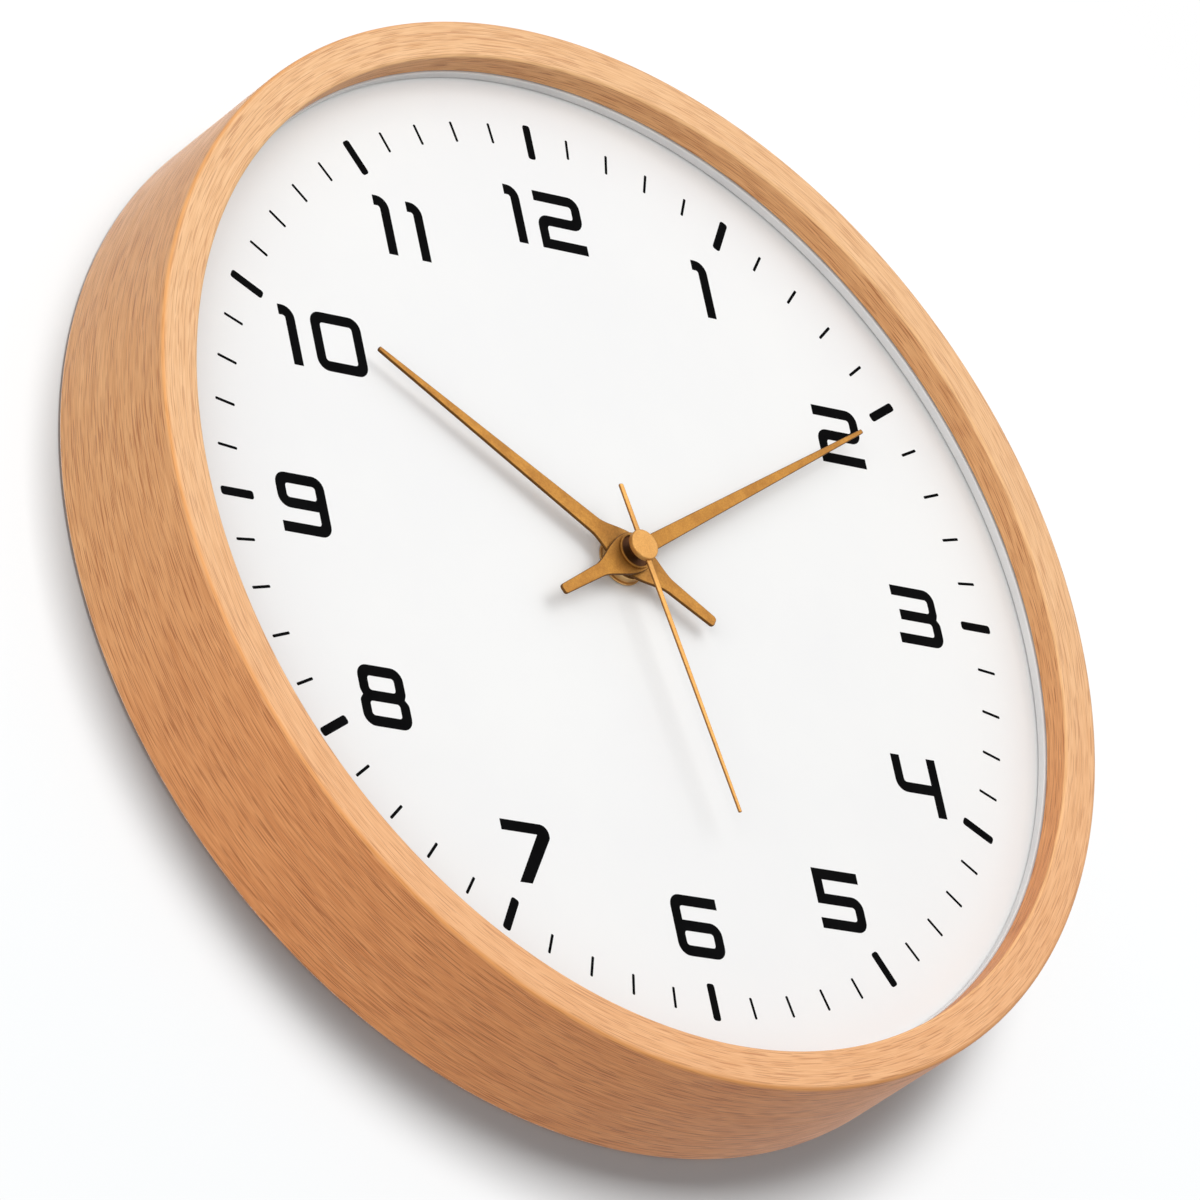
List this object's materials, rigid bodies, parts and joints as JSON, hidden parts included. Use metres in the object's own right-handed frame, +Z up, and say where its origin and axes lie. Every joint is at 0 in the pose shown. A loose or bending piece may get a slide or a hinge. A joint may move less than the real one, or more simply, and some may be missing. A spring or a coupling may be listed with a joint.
{
  "type": "wall clock",
  "caption": "Round wall clock with a deep wooden ring frame, recessed white dial, metal hour, minute and second hands, and a battery quartz movement behind the dial.",
  "frame": {"origin": "on the hands' axis, in the plane of the wall that the clock hangs on", "axes": "+Y into the wall, so the dial faces -Y; +Z up towards twelve o'clock; +X towards three o'clock"},
  "size_m": [0.302, 0.044, 0.302],
  "materials": {
    "beech_wood": "fine-grained pale beech, matt oil finish",
    "white_plastic": "satin white plastic",
    "dial_white": "matt white printed face",
    "zinc_steel": "zinc-plated sheet steel",
    "bright_steel": "plated steel",
    "black_plastic": "moulded black plastic with a fine texture",
    "natural_plastic": "natural acetal",
    "pale_brass": "turned pale brass",
    "copper_gold": "satin copper-gold lacquered metal",
    "black_rubber": "matt rubber",
    "soft_iron": "dull grey iron sheet",
    "magnet_grey": "dark sintered magnet",
    "copper_wire": "enamelled copper wire",
    "board_green": "green circuit board",
    "epoxy_black": "black epoxy",
    "cell_jacket": "plain printed jacket with bright steel ends"
  },
  "bodies": {
    "clock": {"wood_frame": "beech_wood", "spacer_ring": "white_plastic", "dial_plate": "dial_white", "dial_clip_1": "zinc_steel", "dial_clip_2": "zinc_steel", "dial_clip_3": "zinc_steel", "dial_clip_4": "zinc_steel", "clip_screw_1": "bright_steel", "clip_screw_2": "bright_steel", "clip_screw_3": "bright_steel", "clip_screw_4": "bright_steel", "hanger_bracket": "zinc_steel", "hanger_screw_1": "bright_steel", "hanger_screw_2": "bright_steel", "movement_case": "black_plastic", "movement_cover": "black_plastic", "threaded_bush": "pale_brass", "rubber_washer": "black_rubber", "brass_washer": "pale_brass", "round_nut": "pale_brass", "stator": "soft_iron", "coil_core": "soft_iron", "coil_bobbin": "natural_plastic", "coil_winding": "copper_wire", "circuit_board": "board_green", "driver_chip": "epoxy_black", "crystal_can": "bright_steel", "battery_cell": "cell_jacket", "positive_contact": "bright_steel", "negative_contact": "bright_steel"},
    "minute": {"minute_hand": "copper_gold", "minute_pipe": "pale_brass", "centre_wheel": "natural_plastic"},
    "hour": {"hour_hand": "copper_gold", "hour_wheel": "natural_plastic"},
    "second": {"second_hand": "copper_gold", "second_cap": "copper_gold", "second_shaft": "bright_steel", "second_wheel": "natural_plastic"},
    "motion": {"motion_wheel": "natural_plastic"},
    "third": {"third_wheel": "natural_plastic"},
    "step": {"step_wheel": "natural_plastic"},
    "rotor": {"rotor_pinion": "natural_plastic", "rotor_magnet": "magnet_grey"},
    "setting": {"setting_pinion": "natural_plastic", "setting_knob": "black_plastic"}
  },
  "joints": [
    {"name": "minute_turn", "type": "hinge", "parent": "clock", "child": "minute", "pos_m": [0, -0.03, 0], "axis": [0, 1, 0], "continuous": true},
    {"name": "hour_turn", "type": "hinge", "parent": "clock", "child": "hour", "pos_m": [0, -0.03, 0], "axis": [0, 1, 0], "continuous": true},
    {"name": "second_turn", "type": "hinge", "parent": "clock", "child": "second", "pos_m": [0, -0.03, 0], "axis": [0, 1, 0], "continuous": true},
    {"name": "motion_turn", "type": "hinge", "parent": "clock", "child": "motion", "pos_m": [0.01034, -0.026, 0.00376], "axis": [0, 1, 0], "continuous": true},
    {"name": "third_turn", "type": "hinge", "parent": "clock", "child": "third", "pos_m": [-0.01013, -0.022, 0.00585], "axis": [0, 1, 0], "continuous": true},
    {"name": "step_turn", "type": "hinge", "parent": "clock", "child": "step", "pos_m": [0.00208, -0.02, 0.01182], "axis": [0, 1, 0], "continuous": true},
    {"name": "rotor_turn", "type": "hinge", "parent": "clock", "child": "rotor", "pos_m": [0.01178, -0.018, 0.01742], "axis": [0, 1, 0], "continuous": true},
    {"name": "knob_turn", "type": "hinge", "parent": "clock", "child": "setting", "pos_m": [0.02074, -0.018, 0.00018], "axis": [0, 1, 0], "continuous": true}
  ],
  "couplings": [
    {"joint": "motion_turn", "follows": "minute_turn", "ratio": -0.33333},
    {"joint": "hour_turn", "follows": "minute_turn", "ratio": 0.083333},
    {"joint": "knob_turn", "follows": "minute_turn", "ratio": 1},
    {"joint": "third_turn", "follows": "minute_turn", "ratio": -8},
    {"joint": "second_turn", "follows": "minute_turn", "ratio": 60},
    {"joint": "step_turn", "follows": "minute_turn", "ratio": -300},
    {"joint": "rotor_turn", "follows": "minute_turn", "ratio": 1800}
  ]
}
